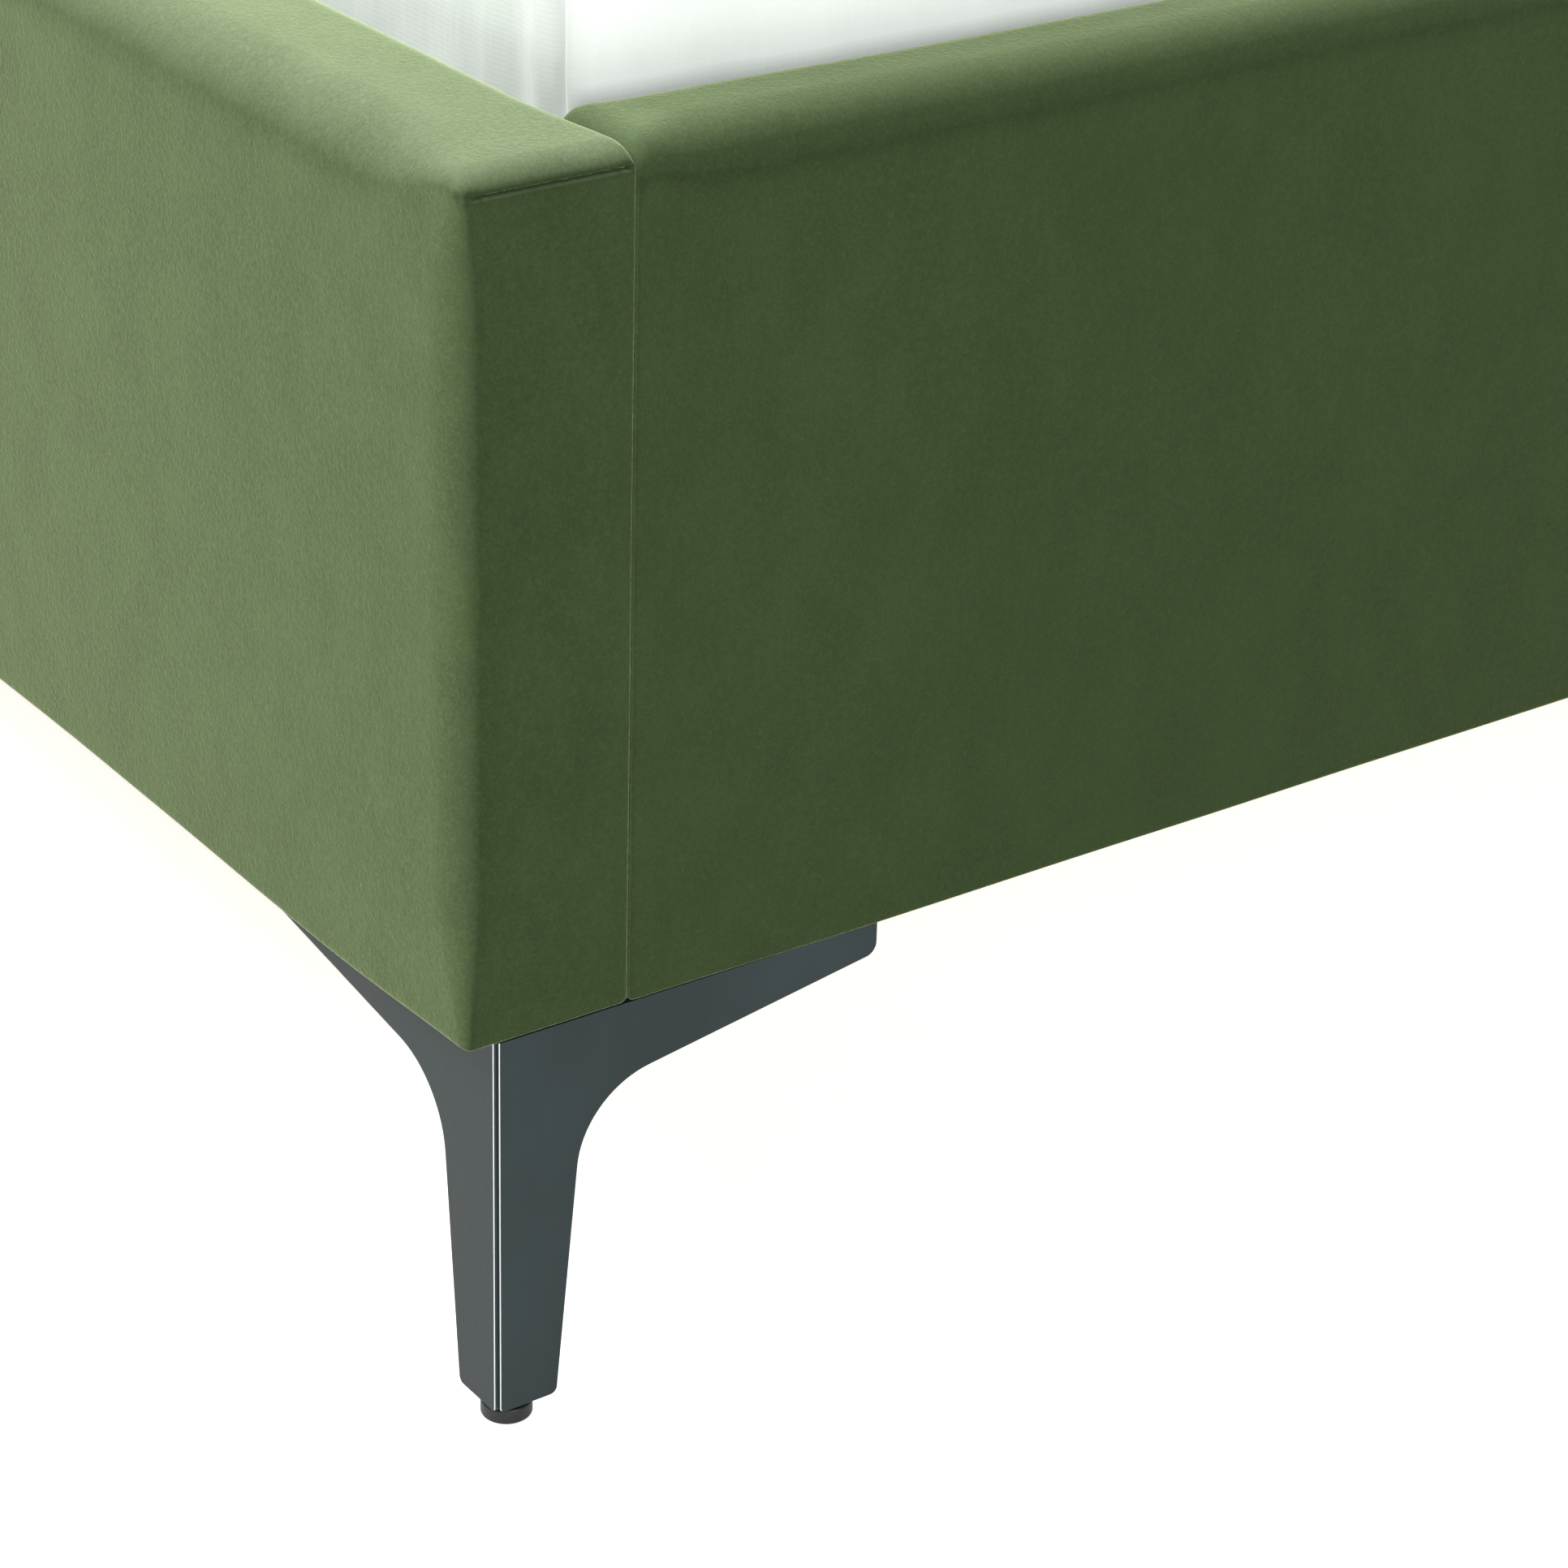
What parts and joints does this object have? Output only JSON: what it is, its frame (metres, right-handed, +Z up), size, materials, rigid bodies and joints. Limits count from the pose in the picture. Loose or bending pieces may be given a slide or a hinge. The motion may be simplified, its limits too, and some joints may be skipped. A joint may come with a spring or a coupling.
{
  "type": "upholstered headboard bed",
  "caption": "Queen-size bed with velvet-covered footboard, side rails and channelled headboard, slatted base, mattress and L-shaped steel legs on levelling glides.",
  "frame": {"origin": "on the floor under the middle of the bed", "axes": "+Z up, +Y from the foot towards the headboard, +X to the right as seen from the foot"},
  "size_m": [1.642, 2.19, 1.15],
  "materials": {
    "velvet": "short-pile woven velvet",
    "foam": "open-cell upholstery foam",
    "pine": "planed, unfinished",
    "plywood": "sanded birch plywood",
    "dust_cloth": "black non-woven cloth",
    "powder_coated_steel": "satin dark grey powder coat",
    "zinc_plated_steel": "bright zinc plate",
    "black_plastic": "moulded nylon",
    "mattress_ticking": "knitted ticking",
    "cotton_sheet": "white cotton percale"
  },
  "bodies": {
    "frame": {"footboard_cover": "velvet", "headboard_cover": "velvet", "side_rail_left_cover": "velvet", "side_rail_right_cover": "velvet", "footboard_foam": "foam", "headboard_foam": "foam", "side_rail_left_foam": "foam", "side_rail_right_foam": "foam", "footboard_bottom_timber": "pine", "footboard_top_timber": "pine", "footboard_uprights": "pine", "headboard_bottom_timber": "pine", "headboard_top_timber": "pine", "headboard_uprights": "pine", "side_rail_left_board": "pine", "side_rail_right_board": "pine", "slat_ledger_left": "pine", "slat_ledger_right": "pine", "centre_beam": "pine", "slat_01": "pine", "slat_02": "pine", "slat_03": "pine", "slat_04": "pine", "slat_05": "pine", "slat_06": "pine", "slat_07": "pine", "slat_08": "pine", "slat_09": "pine", "slat_10": "pine", "slat_11": "pine", "slat_12": "pine", "footboard_front_panel": "plywood", "footboard_back_panel": "plywood", "headboard_front_panel": "plywood", "headboard_dust_cloth": "dust_cloth", "leg_foot_left": "powder_coated_steel", "leg_foot_right": "powder_coated_steel", "leg_head_left": "powder_coated_steel", "leg_head_right": "powder_coated_steel", "centre_leg_foot": "powder_coated_steel", "centre_leg_head": "powder_coated_steel", "corner_brackets": "zinc_plated_steel", "beam_hangers": "zinc_plated_steel", "corner_bolts": "zinc_plated_steel", "corner_insert_nuts": "zinc_plated_steel", "leg_screws": "zinc_plated_steel", "slat_screws": "zinc_plated_steel", "frame_screws": "zinc_plated_steel"},
    "pad_foot_left": {"glide_pad_foot_left": "black_plastic"},
    "stud_foot_left": {"glide_stud_foot_left": "zinc_plated_steel"},
    "pad_foot_right": {"glide_pad_foot_right": "black_plastic"},
    "stud_foot_right": {"glide_stud_foot_right": "zinc_plated_steel"},
    "pad_head_left": {"glide_pad_head_left": "black_plastic"},
    "stud_head_left": {"glide_stud_head_left": "zinc_plated_steel"},
    "pad_head_right": {"glide_pad_head_right": "black_plastic"},
    "stud_head_right": {"glide_stud_head_right": "zinc_plated_steel"},
    "centre_foot_foot": {"centre_screw_foot_foot": "black_plastic"},
    "centre_foot_head": {"centre_screw_foot_head": "black_plastic"},
    "bedding": {"mattress": "mattress_ticking", "fitted_sheet": "cotton_sheet"}
  },
  "joints": [
    {"name": "glide_lift_foot_left", "type": "slide", "parent": "frame", "child": "pad_foot_left", "axis": [0, 0, -1], "range_m": [0, 0.01]},
    {"name": "glide_turn_foot_left", "type": "hinge", "parent": "pad_foot_left", "child": "stud_foot_left", "pos_m": [-0.8095, -1.0735, 0], "axis": [0, 0, -1], "range_deg": [0, 3600]},
    {"name": "glide_lift_foot_right", "type": "slide", "parent": "frame", "child": "pad_foot_right", "axis": [0, 0, -1], "range_m": [0, 0.01]},
    {"name": "glide_turn_foot_right", "type": "hinge", "parent": "pad_foot_right", "child": "stud_foot_right", "pos_m": [0.8095, -1.0735, 0], "axis": [0, 0, -1], "range_deg": [0, 3600]},
    {"name": "glide_lift_head_left", "type": "slide", "parent": "frame", "child": "pad_head_left", "axis": [0, 0, -1], "range_m": [0, 0.01]},
    {"name": "glide_turn_head_left", "type": "hinge", "parent": "pad_head_left", "child": "stud_head_left", "pos_m": [-0.8095, 1.0735, 0], "axis": [0, 0, -1], "range_deg": [0, 3600]},
    {"name": "glide_lift_head_right", "type": "slide", "parent": "frame", "child": "pad_head_right", "axis": [0, 0, -1], "range_m": [0, 0.01]},
    {"name": "glide_turn_head_right", "type": "hinge", "parent": "pad_head_right", "child": "stud_head_right", "pos_m": [0.8095, 1.0735, 0], "axis": [0, 0, -1], "range_deg": [0, 3600]},
    {"name": "centre_foot_lift_foot", "type": "slide", "parent": "frame", "child": "centre_foot_foot", "axis": [0, 0, -1], "range_m": [0, 0.015]},
    {"name": "centre_foot_lift_head", "type": "slide", "parent": "frame", "child": "centre_foot_head", "axis": [0, 0, -1], "range_m": [0, 0.015]},
    {"name": "mattress_lift", "type": "slide", "parent": "frame", "child": "bedding", "axis": [0, 0, 1], "range_m": [0, 0.15]}
  ],
  "couplings": [
    {"joint": "glide_turn_foot_left", "follows": "glide_lift_foot_left", "rad_per_m": 6283.2},
    {"joint": "glide_turn_foot_right", "follows": "glide_lift_foot_right", "rad_per_m": 6283.2},
    {"joint": "glide_turn_head_left", "follows": "glide_lift_head_left", "rad_per_m": 6283.2},
    {"joint": "glide_turn_head_right", "follows": "glide_lift_head_right", "rad_per_m": 6283.2}
  ]
}
